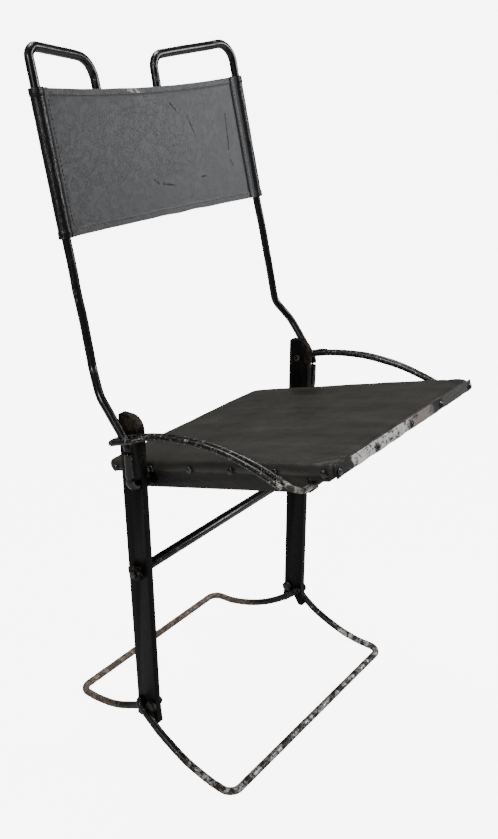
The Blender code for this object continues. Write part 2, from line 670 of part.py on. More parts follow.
def centre_along_y():
    """Moves everything so that the front nails and the rear foot bar are as far from y = 0."""
    tilt = math.radians(SEAT_TILT)
    reach = SEAT_FRONT + GAP + TRIM_THICKNESS + NAIL_DOME
    middle = (BOARD_TOP + BOARD_BOTTOM) / 2
    front = PIVOT_Y - reach * math.cos(tilt) + middle * math.sin(tilt)
    shift = -(front + REAR_REACH + R) / 2
    for obj in bpy.data.objects:
        if obj.parent is None:
            obj.location.y += shift


def build():
    clear_scene()
    black_iron = material("black_iron", (0.022, 0.021, 0.021), 0.42, 0.55)
    worn_iron = material("worn_iron", (0.16, 0.145, 0.13), 0.5, 0.7)
    dark_leather = material("dark_leather", (0.035, 0.035, 0.034), 0.5)
    dark_wood = material("dark_wood", (0.03, 0.021, 0.015), 0.6)
    make_posts(black_iron)
    make_stretcher(black_iron, worn_iron)
    make_feet(black_iron, worn_iron)
    make_back(black_iron, dark_leather)
    make_seat(dark_wood, dark_leather, black_iron, black_iron)
    make_hoop(black_iron, worn_iron)
    centre_along_y()


build()
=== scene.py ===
# %% [markdown]
# # A folding work chair of iron rod and leather
# Two posts of flat iron bar carry a seat and a back. Everything else is round rod bent by hand:
# two U-shaped feet, the back with its two handles, and a thin hoop that makes both arms and holds
# up the front of the seat. This lesson models the visible surface of each piece over a packed
# frame, whose pieces say where everything is.

import json
import math

import bpy
from mathutils import Euler, Matrix, Vector, noise


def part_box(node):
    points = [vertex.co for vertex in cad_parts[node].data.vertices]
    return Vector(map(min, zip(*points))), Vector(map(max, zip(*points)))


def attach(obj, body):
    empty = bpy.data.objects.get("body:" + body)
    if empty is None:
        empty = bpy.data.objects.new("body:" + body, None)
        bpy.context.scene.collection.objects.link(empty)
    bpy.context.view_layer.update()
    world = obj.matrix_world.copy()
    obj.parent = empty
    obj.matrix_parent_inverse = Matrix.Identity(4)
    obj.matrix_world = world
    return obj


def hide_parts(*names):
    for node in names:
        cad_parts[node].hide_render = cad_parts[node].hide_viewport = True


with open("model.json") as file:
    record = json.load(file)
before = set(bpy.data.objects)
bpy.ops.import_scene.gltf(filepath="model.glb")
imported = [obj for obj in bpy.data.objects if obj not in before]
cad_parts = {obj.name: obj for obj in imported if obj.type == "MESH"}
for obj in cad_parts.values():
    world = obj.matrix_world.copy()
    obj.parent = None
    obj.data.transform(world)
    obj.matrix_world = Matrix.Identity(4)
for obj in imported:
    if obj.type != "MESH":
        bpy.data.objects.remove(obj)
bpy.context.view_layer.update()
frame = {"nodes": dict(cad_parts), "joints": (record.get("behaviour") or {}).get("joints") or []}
joints = {joint["name"]: joint for joint in frame["joints"]}
print("frame pieces:", len(frame["nodes"]))

# %% [markdown]
# The chair's sizes come first. The pieces are thought out with y = 0 at the posts' middle, so one
# number, the posts' own place along Y, moves each finished mesh to where the frame has it.

# %% Sizes of the chair
post_low, post_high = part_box("left_post")
BEHIND = (post_low.y + post_high.y) / 2
POST_OUT, POST_IN = -post_low.x, -post_high.x
POST_TOP = post_high.z
PIVOT = Vector(joints["seat_fold"]["pos_m"]) - Vector((0, BEHIND, 0))
HOOP_PIN = Vector(joints["hoop_swing"]["pos_m"]) - Vector((0, BEHIND, 0))
FRONT_PIN = Vector(joints["front_foot_fold"]["pos_m"]) - Vector((0, BEHIND, 0))
REAR_PIN = Vector(joints["rear_foot_fold"]["pos_m"]) - Vector((0, BEHIND, 0))
ROD = 0.0110
HOOP_ROD = 0.0073
GAP = 0.0003
TILT = math.radians(15.0)
LEAN = math.radians(12.0)
KNEE_LOW, KNEE_HIGH, BACK_ZERO = (-0.0105, 0.4855), 0.014, (0.050, 0.5535)
HOOP_SPACING = ROD + HOOP_ROD + 0.0010
STAND_OFF = POST_OUT + GAP + HOOP_ROD / 2 + HOOP_SPACING / 2
KNEE_HALF, TOP_HALF, UPRIGHT = STAND_OFF - 0.012, STAND_OFF - 0.0242, 0.372
PANEL_BOTTOM, PANEL_TOP = 0.1665, 0.328
SEAT_TOP, SEAT_REAR, SEAT_FRONT = 0.0217, 0.0799, 0.2832
REAR_HALF, FRONT_HALF = 0.1655, 0.1700
REAR_CORNER = 0.014
SEAT_HIDE, PANEL_HIDE, STRIP_HIDE = 0.0009, 0.0019, 0.0013
STRIP_HEIGHT = 0.0142
NAIL_RADIUS = 0.0046
THREAD_RADIUS = 0.00045
BOARD_TOP = SEAT_TOP - 0.0043
BOARD_BOTTOM = BOARD_TOP - 0.0095
print("posts stand", round(2 * POST_OUT, 4), "m apart over all")

# %% [markdown]
# A few helpers do what a hand does in edit mode. Operators act on whatever is selected, so each
# helper clears the selection and picks its own piece first.

# %% Helpers for selecting and finishing
def pick(obj):
    bpy.ops.object.select_all(action="DESELECT")
    obj.select_set(True)
    bpy.context.view_layer.objects.active = obj


def start_from(operator, name, **settings):
    """Adds one of Blender's own shapes under a name, with nothing else selected."""
    bpy.ops.object.select_all(action="DESELECT")
    operator(**settings)
    bpy.context.object.name = name
    return bpy.context.object


def apply_all(obj):
    pick(obj)
    for modifier in list(obj.modifiers):
        bpy.ops.object.modifier_apply(modifier=modifier.name)


def finish_piece(obj, material, body, replaces=(), smooth=40, shift=True):
    """Puts a piece in its place, shades it, gives it its finish and lets it ride on its body."""
    if shift:
        obj.data.transform(Matrix.Translation((0, BEHIND, 0)))
    pick(obj)
    bpy.ops.object.transform_apply(location=True, rotation=True, scale=True)
    bpy.ops.object.shade_smooth_by_angle(angle=math.radians(smooth))
    obj.data.materials.clear()
    obj.data.materials.append(material)
    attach(obj, body)
    if replaces:
        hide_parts(*replaces)
    return obj


def recalculate(obj):
    pick(obj)
    bpy.ops.object.mode_set(mode="EDIT")
    bpy.ops.mesh.select_all(action="SELECT")
    bpy.ops.mesh.remove_doubles(threshold=0.00002)
    bpy.ops.mesh.normals_make_consistent(inside=False)
    bpy.ops.object.mode_set(mode="OBJECT")


def note_on(obj, name, value):
    """Stores a number between 0 and 1 on each point of the mesh, for its finish to read."""
    layer = obj.data.attributes.new(name, "FLOAT", "POINT")
    layer.data.foreach_set("value", [value(vertex.co) for vertex in obj.data.vertices])


def ramp(value, low, high):
    share = min(max((value - low) / (high - low), 0.0), 1.0)
    return share * share * (3 - 2 * share)


def bumpy(obj, amount, scale, seed=0.0):
    """Moves each point along its normal by a smooth noise, as hammering and filing leave iron."""
    normals = [v.normal.copy() for v in obj.data.vertices]
    for vertex, normal in zip(obj.data.vertices, normals):
        vertex.co += normal * amount * noise.noise(vertex.co * scale + Vector((seed, seed, seed)))


# %% [markdown]
# ## Finishes
# Old paint over iron is the main finish. What changes over the surface is worked out in node
# groups, which give masks and colours. Each group is built once and used in every material that
# needs it, with its own values.

# %% A small kit for node groups
def new_group(name, inputs, outputs):
    group = bpy.data.node_groups.new(name, "ShaderNodeTree")
    for label, default in inputs.items():
        kind = "NodeSocketColor" if isinstance(default, tuple) else "NodeSocketFloat"
        socket = group.interface.new_socket(name=label, in_out="INPUT", socket_type=kind)
        socket.default_value = (*default, 1.0) if isinstance(default, tuple) else default
    for label, kind in outputs.items():
        group.interface.new_socket(name=label, in_out="OUTPUT", socket_type="NodeSocket" + kind)
    start = group.nodes.new("NodeGroupInput")
    end = group.nodes.new("NodeGroupOutput")
    return group, start.outputs, end.inputs


def add(tree, kind, **settings):
    """A node with its settings."""
    node = tree.nodes.new("ShaderNode" + kind)
    for key, value in settings.items():
        setattr(node, key, value)
    return node


def link(tree, source, target):
    tree.links.new(source, target)


def feed(tree, value, socket):
    """Gives a socket its value: a number, a colour, or another node's output."""
    if isinstance(value, (int, float)):
        socket.default_value = value
    elif isinstance(value, tuple):
        socket.default_value = (*value, 1.0)
    else:
        link(tree, value, socket)


def math_node(tree, operation, first, second=None, clamp=False):
    node = add(tree, "Math", operation=operation, use_clamp=clamp)
    feed(tree, first, node.inputs[0])
    if second is not None:
        feed(tree, second, node.inputs[1])
    return node.outputs[0]


def mix_colour(tree, share, first, second):
    node = add(tree, "Mix", data_type="RGBA")
    for number, value in ((0, share), (6, first), (7, second)):
        feed(tree, value, node.inputs[number])
    return node.outputs[2]


def step_between(tree, value, low, high):
    node = add(tree, "MapRange", interpolation_type="SMOOTHSTEP")
    link(tree, value, node.inputs["Value"])
    feed(tree, low, node.inputs["From Min"])
    feed(tree, high, node.inputs["From Max"])
    return node.outputs[0]


def noise_at(tree, vector, scale, detail=4.0, roughness=0.6, distortion=0.0):
    node = add(tree, "TexNoise")
    link(tree, vector, node.inputs["Vector"])
    feed(tree, scale, node.inputs["Scale"])
    node.inputs["Detail"].default_value = detail
    node.inputs["Roughness"].default_value = roughness
    node.inputs["Distortion"].default_value = distortion
    return node.outputs["Fac"]


def object_place(tree):
    return add(tree, "TexCoord").outputs["Object"]


def stored(tree, name):
    """A number that note_on stored on the mesh."""
    return add(tree, "Attribute", attribute_name=name).outputs["Fac"]


# %% [markdown]
# Chipping: a coarse noise says where a stretch has been knocked about, and a fine one breaks its
# border into flakes. More wear moves both thresholds down.

# %% The chipping group
def chipping_group():
    group, given, put = new_group(
        "chipped_paint", {"Amount": 0.3, "Patch size": 18.0, "Flake size": 220.0},
        {"Bare": "Float", "Worn": "Float"})
    place = object_place(group)
    patch = noise_at(group, place, given["Patch size"], 3.0, 0.55)
    flake = noise_at(group, place, given["Flake size"], 5.0, 0.7, 0.4)
    both = math_node(group, "ADD", math_node(group, "MULTIPLY", patch, 0.62),
                     math_node(group, "MULTIPLY", flake, 0.38))
    level = math_node(group, "SUBTRACT", 0.72, math_node(group, "MULTIPLY", given["Amount"], 0.36))
    full = math_node(group, "ADD", level, 0.025)
    link(group, step_between(group, both, level, full), put["Bare"])
    soft = math_node(group, "SUBTRACT", level, 0.06)
    link(group, step_between(group, both, soft, level), put["Worn"])
    return group


def edge_group():
    """How much a spot lies on a rubbed edge: the rounded normal there leaves the face's own."""
    group, given, put = new_group("rubbed_edge", {"Width": 0.0016, "Break-up": 60.0},
                                  {"Edge": "Float"})
    rounded_off = add(group, "Bevel", samples=6)
    link(group, given["Width"], rounded_off.inputs["Radius"])
    own = add(group, "NewGeometry").outputs["Normal"]
    dot = add(group, "VectorMath", operation="DOT_PRODUCT")
    link(group, rounded_off.outputs["Normal"], dot.inputs[0])
    link(group, own, dot.inputs[1])
    turned = math_node(group, "SUBTRACT", 1.0, dot.outputs["Value"])
    near = step_between(group, turned, 0.02, 0.16)
    broken = noise_at(group, object_place(group), given["Break-up"], 5.0, 0.65)
    link(group, math_node(group, "MULTIPLY", near, step_between(group, broken, 0.44, 0.58)),
         put["Edge"])
    return group


def dust_group():
    """Grey dust that settles on what faces up."""
    group, given, put = new_group("settled_dust", {"Amount": 0.3}, {"Dust": "Float"})
    split = add(group, "SeparateXYZ")
    link(group, add(group, "NewGeometry").outputs["Normal"], split.inputs[0])
    up = step_between(group, split.outputs["Z"], 0.2, 1.0)
    cloud = step_between(group, noise_at(group, object_place(group), 35.0, 5.0), 0.35, 0.75)
    amount = math_node(group, "MULTIPLY", up, math_node(group, "MULTIPLY", cloud, given["Amount"]))
    link(group, amount, put["Dust"])
    return group


CHIPS = chipping_group()
EDGES = edge_group()
DUST = dust_group()


def use_group(tree, group, **values):
    node = tree.nodes.new("ShaderNodeGroup")
    node.node_tree = group
    for name, value in values.items():
        feed(tree, value, node.inputs[name.replace("_", " ")])
    return node.outputs


def new_material(name, roughness=0.5, specular=0.5):
    material = bpy.data.materials.new(name)
    material.use_nodes = True
    shader = material.node_tree.nodes["Principled BSDF"]
    shader.inputs["Roughness"].default_value = roughness
    shader.inputs["Specular IOR Level"].default_value = specular
    return material, material.node_tree, shader


def bump_from(tree, shader, height, strength, distance):
    bump = add(tree, "Bump")
    bump.inputs["Strength"].default_value = strength
    bump.inputs["Distance"].default_value = distance
    link(tree, height, bump.inputs["Height"])
    link(tree, bump.outputs["Normal"], shader.inputs["Normal"])


# %% [markdown]
# Painted iron. Under the black paint lie a brown primer of rust and then the iron itself, so a
# chip shows a brown rim and a grey middle. The same function makes eight finishes, from the nearly
# whole paint of the posts to the rods, which hands and floors have rubbed most.

# %% Painted iron
def painted_iron(name, chips, patch=18.0, rust=(0.030, 0.020, 0.014), metal=(0.24, 0.23, 0.22),
                 paint=(0.0018, 0.0018, 0.0018), gloss=0.38, edge=0.3, dust=0.01, rubbed=0.5,
                 shine=0.16, flake=220.0):
    material, tree, shader = new_material(name, specular=shine)
    place = object_place(tree)
    wear = stored(tree, "wear")
    amount = math_node(tree, "ADD", chips, math_node(tree, "MULTIPLY", wear, rubbed))
    chip = use_group(tree, CHIPS, Amount=amount, Patch_size=patch, Flake_size=flake)
    edges = use_group(tree, EDGES)["Edge"]
    bare = math_node(tree, "MAXIMUM", chip["Bare"], math_node(tree, "MULTIPLY", edges, edge))
    tone = noise_at(tree, place, 90.0, 5.0)
    dull = mix_colour(tree, tone, paint, tuple(2.4 * c for c in paint))
    rusty = mix_colour(tree, step_between(tree, tone, 0.35, 0.65), rust,
                       tuple(0.3 * c for c in rust))
    iron = mix_colour(tree, step_between(tree, tone, 0.42, 0.6), rusty, metal)
    worn = mix_colour(tree, math_node(tree, "MULTIPLY", chip["Worn"], 0.6), dull, rusty)
    colour = mix_colour(tree, bare, worn, iron)
    dusty = use_group(tree, DUST, Amount=dust)["Dust"]
    link(tree, mix_colour(tree, dusty, colour, (0.20, 0.19, 0.175)), shader.inputs["Base Color"])
    bright = math_node(tree, "MULTIPLY", bare, step_between(tree, tone, 0.45, 0.62))
    link(tree, math_node(tree, "MULTIPLY", bright, 0.8), shader.inputs["Metallic"])
    rough = math_node(tree, "ADD", gloss, math_node(tree, "MULTIPLY", chip["Worn"], 0.2))
    rough = math_node(tree, "SUBTRACT", rough, math_node(tree, "MULTIPLY", bright, 0.08))
    link(tree, math_node(tree, "ADD", rough, math_node(tree, "MULTIPLY", tone, 0.12)),
         shader.inputs["Roughness"])
    ripple = noise_at(tree, place, 420.0, 4.0)
    height = math_node(tree, "SUBTRACT", math_node(tree, "MULTIPLY", ripple, 0.25), bare)
    bump_from(tree, shader, height, 0.4, 0.00025)
    return material


POST_PAINT = painted_iron("post_paint", 0.10, 22.0, gloss=0.42, edge=0.22, rubbed=0.55,
                          rust=(0.040, 0.028, 0.020), metal=(0.07, 0.06, 0.05), shine=0.10)
BACK_PAINT = painted_iron("back_paint", 0.28, 90.0, gloss=0.20, edge=0.1, shine=0.45, flake=500.0,
                          metal=(0.22, 0.21, 0.20))
HOOP_WEAR = painted_iron("hoop_wear", 0.42, 300.0, gloss=0.26, edge=0.1, shine=0.4, flake=600.0,
                         metal=(0.45, 0.43, 0.41), rubbed=0.6)
FRONT_WEAR = painted_iron("front_foot_wear", 0.36, 220.0, gloss=0.28, edge=0.1, shine=0.4,
                          flake=650.0, metal=(0.60, 0.58, 0.55), rubbed=0.42)
REAR_WEAR = painted_iron("rear_foot_wear", 0.34, 300.0, gloss=0.36, edge=0.1, shine=0.3,
                         flake=500.0, rust=(0.10, 0.070, 0.050), metal=(0.24, 0.19, 0.15))
HAMMERED = painted_iron("hammered_iron", 0.60, 130.0, rust=(0.060, 0.043, 0.031), gloss=0.42,
                        edge=0.35, metal=(0.20, 0.17, 0.14), flake=500.0)
NUT_IRON = painted_iron("nut_iron", 0.52, 130.0, rust=(0.040, 0.030, 0.021), gloss=0.46, edge=0.5,
                        metal=(0.13, 0.11, 0.09), flake=500.0)
NAIL_IRON = painted_iron("nail_iron", 0.36, 200.0, metal=(0.30, 0.29, 0.29), gloss=0.22, edge=0.9,
                         paint=(0.004, 0.004, 0.004), shine=0.55, flake=700.0)


# %% [markdown]
# Leather. A fine pebbled grain comes from Voronoi cells, creases from a stretched noise, and
# scuffs are short dark strokes. The colour drifts slowly, where hands and backs have polished it.
# On the panel a painted sheen is added as well: its colour grows lighter toward the right, as
# light falling from that side would make it look.

# %% The leather groups
def grain_group():
    group, given, put = new_group("leather_grain", {"Scale": 900.0, "Crease": 45.0},
                                  {"Height": "Float", "Creases": "Float"})
    place = object_place(group)
    cells = add(group, "TexVoronoi", feature="DISTANCE_TO_EDGE")
    link(group, place, cells.inputs["Vector"])
    link(group, given["Scale"], cells.inputs["Scale"])
    pebble = step_between(group, cells.outputs["Distance"], 0.0, 0.25)
    fine = noise_at(group, place, 1500.0, 3.0)
    crease = noise_at(group, place, given["Crease"], 8.0, 0.72, 1.4)
    thin = math_node(group, "ABSOLUTE", math_node(group, "SUBTRACT", crease, 0.5))
    lines = step_between(group, thin, 0.03, 0.0)
    height = math_node(group, "ADD", math_node(group, "MULTIPLY", pebble, 0.5),
                       math_node(group, "MULTIPLY", fine, 0.35))
    link(group, math_node(group, "SUBTRACT", height, math_node(group, "MULTIPLY", lines, 0.6)),
         put["Height"])
    link(group, lines, put["Creases"])
    return group


def scuff_group():
    group, given, put = new_group("scuffs", {"Amount": 0.5, "Size": 55.0}, {"Scuff": "Float"})
    stretched = add(group, "Mapping")
    link(group, object_place(group), stretched.inputs["Vector"])
    stretched.inputs["Rotation"].default_value = (0.3, 0.6, 0.2)
    stretched.inputs["Scale"].default_value = (1.0, 1.0, 2.6)
    field = noise_at(group, stretched.outputs["Vector"], given["Size"], 7.0, 0.7, 0.8)
    level = math_node(group, "SUBTRACT", 0.74, math_node(group, "MULTIPLY", given["Amount"], 0.1))
    full = math_node(group, "ADD", level, 0.03)
    link(group, step_between(group, field, level, full), put["Scuff"])
    return group


GRAIN = grain_group()
SCUFFS = scuff_group()


def old_leather(name, dark, light, scuff, patches=7.0, rough=0.46, grain=900.0, strength=0.35,
                streak=None, scuffs=0.5, sleeve=(0.004, 0.004, 0.004), creases=0.3):
    material, tree, shader = new_material(name, rough, 0.35)
    place = object_place(tree)
    sleeved = stored(tree, "wear")
    if streak:
        along = add(tree, "Mapping")
        along.inputs["Scale"].default_value = streak
        link(tree, place, along.inputs["Vector"])
        place = along.outputs["Vector"]
    drift = step_between(tree, noise_at(tree, place, patches, 6.0, 0.62), 0.3, 0.72)
    # The stored number read here is a painted sheen on the panel: it lightens the colour toward the
    # right, as light falling from that side would.
    faded_and_sheen = stored(tree, "faded_and_sheen")
    tone = math_node(tree, "ADD", math_node(tree, "MULTIPLY", drift, 0.6), faded_and_sheen, clamp=True)
    colour = mix_colour(tree, tone, dark, light)
    grain_out = use_group(tree, GRAIN, Scale=grain)
    creased = math_node(tree, "MULTIPLY", grain_out["Creases"], creases)
    colour = mix_colour(tree, creased, colour, tuple(0.3 * c for c in dark))
    drawn = stored(tree, "scuffed")
    ragged = noise_at(tree, place, 260.0, 6.0, 0.7)
    drawn = step_between(tree, math_node(tree, "ADD", drawn, ragged), 1.02, 1.12)
    marks = math_node(tree, "MAXIMUM", use_group(tree, SCUFFS, Amount=scuffs)["Scuff"], drawn)
    colour = mix_colour(tree, math_node(tree, "MULTIPLY", marks, 0.6), colour, scuff)
    dusty = use_group(tree, DUST, Amount=0.05)["Dust"]
    colour = mix_colour(tree, dusty, colour, (0.22, 0.21, 0.20))
    colour = mix_colour(tree, math_node(tree, "MULTIPLY", sleeved, 0.9), colour, sleeve)
    lost = stored(tree, "chipped")
    lost = step_between(tree, math_node(tree, "ADD", lost, ragged), 1.49, 1.55)
    link(tree, mix_colour(tree, lost, colour, (0.48, 0.44, 0.41)), shader.inputs["Base Color"])
    roughness = math_node(tree, "ADD", rough, math_node(tree, "MULTIPLY", drift, 0.10))
    roughness = math_node(tree, "SUBTRACT", roughness, math_node(tree, "MULTIPLY", sleeved, 0.20))
    link(tree, math_node(tree, "ADD", roughness, math_node(tree, "MULTIPLY", marks, 0.2)),
         shader.inputs["Roughness"])
    bump_from(tree, shader, grain_out["Height"], strength, 0.00025)
    return material


PANEL_LEATHER = old_leather("panel_leather", (0.033, 0.034, 0.037), (0.100, 0.103, 0.112),
                            (0.006, 0.006, 0.006), 5.0, 0.40, scuffs=0.3, creases=0.05)
SEAT_LEATHER = old_leather("seat_leather", (0.016, 0.0155, 0.0125), (0.050, 0.049, 0.042),
                           (0.006, 0.006, 0.005), 13.0, 0.38, grain=750.0,
                           streak=(2.2, 0.4, 1.0), scuffs=0.2, creases=0.15)
STITCH_THREAD, _, thread_shader = new_material("stitch_thread", 0.7)
thread_shader.inputs["Base Color"].default_value = (0.02, 0.02, 0.021, 1)


# %% [markdown]
# The strip nailed along the seat's front has torn: its dark face is gone in the middle and the
# pale, fibrous inside of the leather shows. A mask along X, broken by noise, picks the torn part.

# %% Torn strip and old wood
def torn_leather():
    material, tree, shader = new_material("torn_strip", 0.7)
    place = object_place(tree)
    split = add(tree, "SeparateXYZ")
    link(tree, place, split.inputs[0])
    rag = noise_at(tree, place, 75.0, 9.0, 0.8, 0.8)
    shifted = math_node(tree, "ADD", split.outputs["X"],
                        math_node(tree, "MULTIPLY", math_node(tree, "SUBTRACT", rag, 0.5), 0.10))
    inside = math_node(tree, "MULTIPLY", step_between(tree, shifted, -0.140, -0.130),
                       step_between(tree, shifted, 0.004, -0.010))
    inside = math_node(tree, "MULTIPLY", inside, step_between(tree, rag, 0.40, 0.44))
    cracks = noise_at(tree, place, 170.0, 8.0, 0.75, 0.8)
    inside = math_node(tree, "MULTIPLY", inside, step_between(tree, cracks, 0.42, 0.47))
    fibre = noise_at(tree, place, 300.0, 6.0, 0.7)
    pale = mix_colour(tree, fibre, (0.62, 0.60, 0.58), (0.95, 0.94, 0.92))
    faded_and_sheen = math_node(tree, "MULTIPLY", step_between(tree, shifted, -0.006, 0.004),
                      step_between(tree, shifted, 0.062, 0.050))
    far = math_node(tree, "MULTIPLY", step_between(tree, shifted, 0.080, 0.092), fibre)
    dark = mix_colour(tree, far, (0.006, 0.006, 0.006), (0.11, 0.11, 0.105))
    dark = mix_colour(tree, math_node(tree, "MULTIPLY", faded_and_sheen, step_between(tree, rag, 0.40, 0.5)),
                      dark, (0.30, 0.25, 0.235))
    link(tree, mix_colour(tree, inside, dark, pale), shader.inputs["Base Color"])
    height = math_node(tree, "SUBTRACT", fibre, math_node(tree, "MULTIPLY", inside, 1.5))
    bump_from(tree, shader, height, 0.6, 0.0006)
    return material


def old_wood():
    material, tree, shader = new_material("old_wood", 0.62)
    along = add(tree, "Mapping")
    along.inputs["Scale"].default_value = (9.0, 1.0, 9.0)
    link(tree, object_place(tree), along.inputs["Vector"])
    rings = noise_at(tree, along.outputs["Vector"], 14.0, 6.0, 0.6, 1.2)
    pores = noise_at(tree, along.outputs["Vector"], 160.0, 3.0)
    colour = mix_colour(tree, step_between(tree, rings, 0.42, 0.75), (0.003, 0.0026, 0.0024),
                        (0.022, 0.014, 0.009))
    rubbed = use_group(tree, EDGES, Width=0.002)["Edge"]
    colour = mix_colour(tree, math_node(tree, "MULTIPLY", rubbed, 0.3), colour, (0.10, 0.055, 0.03))
    link(tree, colour, shader.inputs["Base Color"])
    bump_from(tree, shader, math_node(tree, "ADD", rings, pores), 0.3, 0.0005)
    return material


TORN_STRIP = torn_leather()
OLD_WOOD = old_wood()

# %% [markdown]
# ## Round rod
# A blacksmith bends one length of rod round a peg at each corner. So does this code: it walks the
# corners, puts an arc of the peg's radius at each, and sets a point every few millimetres. A
# curve with a round bevel makes the rod, its points' radius swells where an end was hammered over,
# and the mesh then gets the slight unevenness of forged iron. The rod's sway comes from a noise
# that has a seed, which is fixed here so that every run bends the rods the same way.

# %% The rod helper
SWAY_SEED = 3
noise.seed_set(SWAY_SEED)


def round_path(corners, radii):
    points = [Vector(corners[0])]
    for before, corner, after, radius in zip(corners, corners[1:], corners[2:], radii):
        corner = Vector(corner)
        back, on = (Vector(before) - corner).normalized(), (Vector(after) - corner).normalized()
        half = back.angle(on) / 2
        centre = corner + (back + on).normalized() * radius / math.sin(half)
        reach = radius / math.tan(half)
        start, end = corner + back * reach - centre, corner + on * reach - centre
        turn = start.angle(end)
        for i in range(13):
            t = i / 12
            arm = (start * math.sin((1 - t) * turn) + end * math.sin(t * turn)) / math.sin(turn)
            points.append(centre + arm)
    points.append(Vector(corners[-1]))
    return points


def dense(points, pitch=0.005):
    """The same line with no gap longer than the pitch, so that it can be made uneven."""
    out = [Vector(points[0])]
    for a, b in zip(points, points[1:]):
        a, b = Vector(a), Vector(b)
        count = max(1, math.ceil((b - a).length / pitch))
        out += [a.lerp(b, i / count) for i in range(1, count + 1)]
    return out


def rod_piece(name, points, diameter, sway=0.0006, dents=0.00022, swell_start=0.0, swell_end=0.0,
              still=lambda p: False, seed=1.0, sides=16):
    """A bent rod. still(p) says where the line may not sway, as in its holes and on the floor."""
    points = dense(points)
    guide = start_from(bpy.ops.curve.primitive_nurbs_path_add, name)
    curve = guide.data
    curve.splines.clear()
    spline = curve.splines.new("POLY")
    spline.points.add(len(points) - 1)
    for i, (target, point) in enumerate(zip(spline.points, points)):
        if not still(point):
            point = point + sway * noise.noise_vector(point * 22.0 + Vector((seed, 0, 0)))
        target.co = (*point, 1.0)
        near_start, near_end = (point - points[0]).length, (point - points[-1]).length
        target.radius = 1.0 + swell_start * max(0.0, 1 - near_start / 0.004) \
            + swell_end * max(0.0, 1 - near_end / 0.004)
    curve.dimensions = "3D"
    curve.twist_mode = "Z_UP"
    curve.bevel_depth = diameter / 2
    curve.bevel_resolution = (sides - 4) // 2
    curve.use_fill_caps = True
    pick(guide)
    bpy.ops.object.convert(target="MESH")
    rod = bpy.context.object
    recalculate(rod)
    bumpy(rod, dents, 140.0, seed)
    bumpy(rod, dents * 0.6, 420.0, seed + 5)
    return rod


# %% [markdown]
# ## The two feet
# Each foot is a U of rod. Its ends turn through the posts, the front foot's from outside and the
# rear foot's from inside, and its arms sweep down to a straight run on the floor.

# %% Feet
def foot_points(pin, bar_y, x_floor, power, outside, corner=0.017):
    floor_z = ROD / 2 * math.cos(math.pi / 10)
    x_pin = POST_OUT + 0.0006 + ROD / 2 if outside else POST_IN - 0.0006 - ROD / 2
    tip = POST_IN - 0.0053 if outside else POST_OUT + 0.0053
    arm = []
    for i in range(9):
        t = 0.10 + 0.78 * i / 8
        arm.append(Vector((x_pin + (x_floor - x_pin) * t, pin.y + (bar_y - pin.y) * t,
                           floor_z + (pin.z - floor_z) * (1 - t) ** power)))
    eye = round_path([(tip, pin.y, pin.z), (x_pin, pin.y, pin.z), arm[0]], [0.0060])
    bend = round_path([arm[-1], (x_floor, bar_y, floor_z), (-x_floor, bar_y, floor_z)], [corner])
    half = eye + smooth_line(arm)[1:] + bend[1:-1]
    return half + [Vector((-p.x, p.y, p.z)) for p in reversed(half)]


def smooth_line(points, steps=4):
    """A Catmull-Rom line through the points."""
    out = []
    for i in range(len(points) - 1):
        a, b, c, d = (points[max(i - 1, 0)], points[i], points[i + 1],
                      points[min(i + 2, len(points) - 1)])
        for k in range(steps):
            t = k / steps
            out.append(0.5 * ((2 * b) + (c - a) * t + (2 * a - 5 * b + 4 * c - d) * t * t
                              + (3 * b - a - 3 * c + d) * t ** 3))
    return out + [points[-1]]


def held_foot(point):
    return point.z < 0.0062 or point.z > 0.055


for word, pin, bar_y, x_floor, power, outside in (
        ("front", FRONT_PIN, -0.163, 0.2025, 2.5, True),
        ("rear", REAR_PIN, 0.165, 0.1679, 2.3, False)):
    foot = rod_piece(f"{word}_foot", foot_points(pin, bar_y, x_floor, power, outside), ROD,
                     sway=0.0012, dents=0.00028, swell_start=0.18, swell_end=0.18,
                     still=held_foot, seed=3.0 + bar_y, sides=20)
    for vertex in foot.data.vertices:
        vertex.co.z = max(vertex.co.z, 0.0)
    note_on(foot, "wear", lambda p: ramp(p.z, 0.035, 0.008))
    finish_piece(foot, FRONT_WEAR if outside else REAR_WEAR, f"{word}_foot",
                 [f"{word}_foot_rod"])
    print(foot.name, "has", len(foot.data.vertices), "points")

# %% [markdown]
# ## The back
# One long rod: a hook through the post at each side, a knee, the leaning upright, a handle, and a
# short run hidden behind the leather. The two handles were bent by hand, and the right one came
# out wider and higher.

# %% Back rod
def on_back(x, height, behind):
    """A point given along the leaning back and square to it."""
    return Vector((x, BACK_ZERO[0] + height * math.sin(LEAN) + behind * math.cos(LEAN),
                   BACK_ZERO[1] + height * math.cos(LEAN) - behind * math.sin(LEAN)))


def upright_x(height):
    return KNEE_HALF + (TOP_HALF - KNEE_HALF) * height / UPRIGHT


def back_corners(side, handle_x, handle_height):
    tip = REAR_HALF - 0.003 - 0.018 - 0.002 - 2 * GAP - 0.003
    knee = on_back(side * upright_x(KNEE_HIGH), KNEE_HIGH, 0.0)
    clear = [low + 2 / 3 * (high - low) for low, high in zip(KNEE_LOW, knee.yz)]
    return [(side * tip, PIVOT.y, PIVOT.z), (side * STAND_OFF, PIVOT.y, PIVOT.z),
            (side * STAND_OFF, *KNEE_LOW), (side * STAND_OFF, *clear), knee,
            on_back(side * TOP_HALF, UPRIGHT, 0.0), on_back(handle_x, handle_height, 0.0103),
            on_back(handle_x - side * 0.001, 0.283, 0.0115)]


BENDS = [0.0115, 0.018, 0.05, 0.026]
back_path = round_path(back_corners(-1, -0.0775, 0.357) + back_corners(1, 0.0290, 0.360)[::-1],
                       BENDS + [0.0125, 0.027, 0.013, 0.013, 0.018, 0.024] + BENDS[::-1])
back = rod_piece("back_rod", back_path, ROD, sway=0.0010, dents=0.00016, swell_start=0.35,
                 swell_end=0.35, still=lambda p: p.z < 0.55, seed=9.0, sides=20)
finish_piece(back, BACK_PAINT, "back", ["back_frame_rod"])
print("back rod reaches", round(max(v.co.z for v in back.data.vertices), 4), "m")

